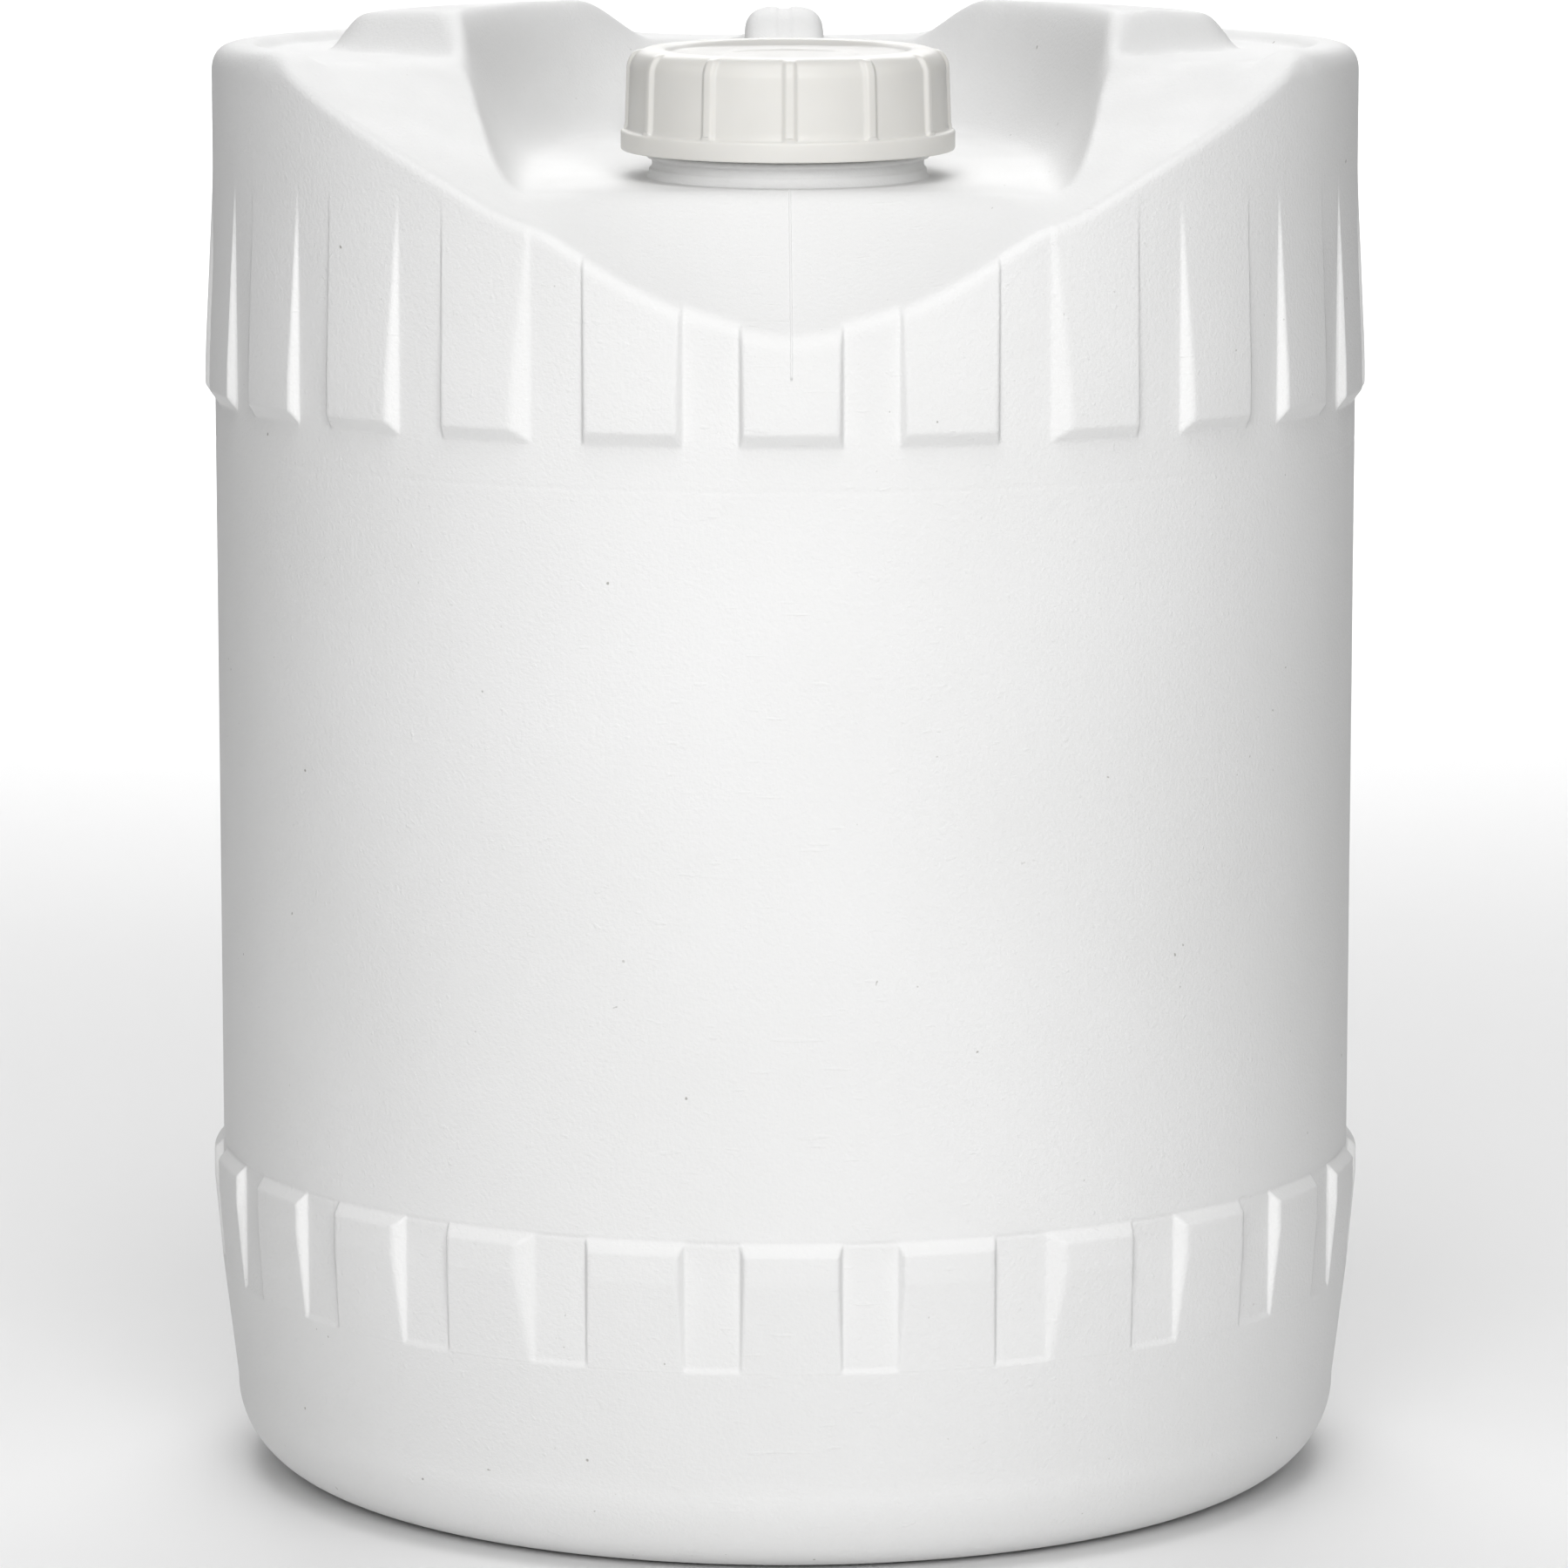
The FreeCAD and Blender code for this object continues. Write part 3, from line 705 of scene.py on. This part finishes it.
def noise(tree, source, scale, detail=3.0, roughness=0.5):
    """A noise texture in metres."""
    node = tree.nodes.new("ShaderNodeTexNoise")
    node.inputs["Scale"].default_value = scale
    node.inputs["Detail"].default_value = detail
    node.inputs["Roughness"].default_value = roughness
    tree.links.new(source, node.inputs["Vector"])
    return node.outputs["Fac"]


def ramp(tree, source, low, high, start=0.0, end=1.0):
    """Map part of a value's range to another range."""
    node = tree.nodes.new("ShaderNodeMapRange")
    node.inputs["From Min"].default_value = start
    node.inputs["From Max"].default_value = end
    node.inputs["To Min"].default_value = low
    node.inputs["To Max"].default_value = high
    tree.links.new(source, node.inputs["Value"])
    return node.outputs["Result"]


def bump(tree, height, strength, distance, before=None):
    """A bump node, on top of another one."""
    node = tree.nodes.new("ShaderNodeBump")
    node.inputs["Strength"].default_value = strength
    node.inputs["Distance"].default_value = distance
    tree.links.new(height, node.inputs["Height"])
    if before:
        tree.links.new(before, node.inputs["Normal"])
    return node.outputs["Normal"]


def blend_colours(tree, part, first, second):
    """A mix of two colours, either of which may come from another node."""
    node = tree.nodes.new("ShaderNodeMix")
    node.data_type = "RGBA"
    for socket, colour in ((node.inputs[6], first), (node.inputs[7], second)):
        if isinstance(colour, tuple):
            socket.default_value = (*colour, 1.0)
        else:
            tree.links.new(colour, socket)
    tree.links.new(part, node.inputs["Factor"])
    return node.outputs[2]


def milkiness(shader, weight, radius):
    """Let some light enter the plastic and come out close by."""
    shader.inputs["Subsurface Weight"].default_value = weight
    shader.inputs["Subsurface Radius"].default_value = radius
    shader.inputs["Subsurface Scale"].default_value = 0.5


def drum_material():
    """Grained white polyethylene with faint clouding, specks and rub marks."""
    material, tree, shader, place = new_material("white_polyethylene")
    cloud = ramp(tree, noise(tree, place, 9.0, 4.0), 0.0, 1.0, 0.3, 0.7)
    shade = blend_colours(tree, cloud, (0.80, 0.80, 0.795), (0.84, 0.84, 0.838))
    specks = ramp(tree, noise(tree, place, 420.0, 1.0), 0.0, 1.0, 0.80, 0.84)
    shade = blend_colours(tree, specks, shade, (0.42, 0.41, 0.39))
    tree.links.new(shade, shader.inputs["Base Color"])
    sheen = ramp(tree, noise(tree, place, 60.0, 3.0), 0.55, 0.70, 0.3, 0.7)
    tree.links.new(sheen, shader.inputs["Roughness"])
    shader.inputs["IOR"].default_value = 1.5
    shader.inputs["Specular IOR Level"].default_value = 0.25
    milkiness(shader, 0.04, (0.003, 0.003, 0.003))
    grain = bump(tree, noise(tree, place, 1000.0, 2.0, 0.6), 0.5, 0.0003)
    ripple = bump(tree, noise(tree, place, 40.0, 2.0), 0.15, 0.0006, grain)
    stretch = tree.nodes.new("ShaderNodeMapping")
    stretch.inputs["Rotation"].default_value = (0.5, 0.3, 0.7)
    stretch.inputs["Scale"].default_value = (60.0, 900.0, 500.0)
    tree.links.new(place, stretch.inputs["Vector"])
    rubs = ramp(tree, noise(tree, stretch.outputs["Vector"], 1.0, 1.0), 0.0, 1.0, 0.70, 0.76)
    tree.links.new(bump(tree, rubs, 0.3, 0.0002, ripple), shader.inputs["Normal"])
    return material


def cap_material():
    """Natural polyethylene: milky, slightly warm, smoother than the drum, with painted shade darkening its
    top.
    """
    material, tree, shader, place = new_material("natural_polyethylene")
    cloud = ramp(tree, noise(tree, place, 35.0, 3.0), 0.0, 1.0, 0.3, 0.7)
    shade = blend_colours(tree, cloud, (0.69, 0.68, 0.65), (0.73, 0.72, 0.69))
    # Painted shade: the cap's top, within about 30 mm of the middle of its crest, gets a darker colour in
    # place of the shade that falls there.
    away = tree.nodes.new("ShaderNodeVectorMath")
    away.operation = "DISTANCE"
    away.inputs[1].default_value = CAP_CROWN
    tree.links.new(place, away.inputs[0])
    painted_top_shade = ramp(tree, away.outputs["Value"], 1.0, 0.0, 0.0285, 0.0315)
    shade = blend_colours(tree, painted_top_shade, shade, (0.62, 0.611, 0.59))
    tree.links.new(shade, shader.inputs["Base Color"])
    sheen = ramp(tree, noise(tree, place, 120.0, 3.0), 0.36, 0.46, 0.3, 0.7)
    tree.links.new(sheen, shader.inputs["Roughness"])
    shader.inputs["Specular IOR Level"].default_value = 0.35
    milkiness(shader, 0.2, (0.004, 0.0036, 0.003))
    grain = bump(tree, noise(tree, place, 700.0, 2.0), 0.08, 0.0002)
    tree.links.new(grain, shader.inputs["Normal"])
    return material


def gasket_material():
    """Foamed polyethylene with fine open cells."""
    material, tree, shader, place = new_material("foamed_polyethylene")
    cells = tree.nodes.new("ShaderNodeTexVoronoi")
    cells.inputs["Scale"].default_value = 2600.0
    tree.links.new(place, cells.inputs["Vector"])
    shade = blend_colours(tree, cells.outputs["Distance"], (0.86, 0.86, 0.84), (0.74, 0.74, 0.72))
    tree.links.new(shade, shader.inputs["Base Color"])
    tree.links.new(ramp(tree, noise(tree, place, 300.0), 0.7, 0.85), shader.inputs["Roughness"])
    tree.links.new(bump(tree, cells.outputs["Distance"], 0.4, 0.0002), shader.inputs["Normal"])
    return material


# ---------------------------------------------------------------- stage, light and camera

FLOOR_HALF = 4.0
FLOOR_REAR = 3.0
FLOOR_BEND = 1.2
FLOOR_DROP = 0.0005
BACKDROP_TOP = 4.0


def make_stage():
    """A pale floor that curves up behind the drum."""
    centre = FLOOR_REAR - FLOOR_BEND
    section = [(-FLOOR_HALF, 0.0)] + arc(centre, FLOOR_BEND, FLOOR_BEND, -90, 0, 24)
    section.append((FLOOR_REAR, BACKDROP_TOP))
    points = [(side, y, z - FLOOR_DROP) for y, z in section for side in (-FLOOR_HALF, FLOOR_HALF)]
    faces = [(2 * i, 2 * i + 1, 2 * i + 3, 2 * i + 2) for i in range(len(section) - 1)]
    mesh = bpy.data.meshes.new("floor")
    mesh.from_pydata(points, [], faces)
    mesh.shade_smooth()
    floor = bpy.data.objects.new("floor", mesh)
    bpy.context.scene.collection.objects.link(floor)
    material, tree, shader, place = new_material("studio_paper")
    shade = blend_colours(tree, noise(tree, place, 3.0), (0.86, 0.86, 0.86), (0.88, 0.88, 0.88))
    tree.links.new(shade, shader.inputs["Base Color"])
    shader.inputs["Roughness"].default_value = 0.9
    mesh.materials.append(material)


def aim(item, place, target):
    """Put a light or the camera at a place, looking at a target, and add it to the scene."""
    item.location = place
    item.rotation_euler = (Vector(target) - Vector(place)).to_track_quat("-Z", "Y").to_euler()
    bpy.context.scene.collection.objects.link(item)


def area_light(name, place, target, size, power):
    """A rectangular soft light aimed at a point."""
    data = bpy.data.lights.new(name, "AREA")
    data.shape = "RECTANGLE"
    data.size, data.size_y = size
    data.energy = power
    aim(bpy.data.objects.new(name, data), place, target)


def make_light():
    """Softboxes in front and overhead, one more on the backdrop, and a faint white surround."""
    area_light("front", (0.0, -2.6, 1.25), (0.0, 0.0, 0.2), (2.0, 1.0), 48.0)
    area_light("overhead", (0.0, -0.8, 1.9), (0.0, -0.1, 0.33), (1.2, 1.0), 15.0)
    area_light("backdrop", (0.0, 2.2, 1.8), (0.0, 1.8, 0.0), (2.0, 1.4), 46.0)
    world = bpy.data.worlds.new("studio")
    world.use_nodes = True
    surround = world.node_tree.nodes["Background"]
    surround.inputs["Color"].default_value = (1.0, 1.0, 1.0, 1.0)
    surround.inputs["Strength"].default_value = 0.03
    bpy.context.scene.world = world
    bpy.context.scene.view_settings.view_transform = "Standard"


def make_camera():
    """The camera looks down a little on the front of the drum, from just left of its middle."""
    data = bpy.data.cameras.new("camera")
    data.sensor_width = 36.0
    data.lens = 160.88
    camera = bpy.data.objects.new("camera", data)
    aim(camera, (-0.0177, -1.759, 0.4323), (-0.0003, 0.0, 0.171656))
    bpy.context.scene.camera = camera


make_camera()
make_light()
make_stage()

drum_plastic = drum_material()
for piece in (make_drum_skin(), make_neck(), make_handle(), make_parting_line()):
    piece.data.materials.append(drum_plastic)
make_cap().data.materials.append(cap_material())
gasket = frame["nodes"]["cap_gasket"]
gasket.data.materials.clear()
gasket.data.materials.append(gasket_material())
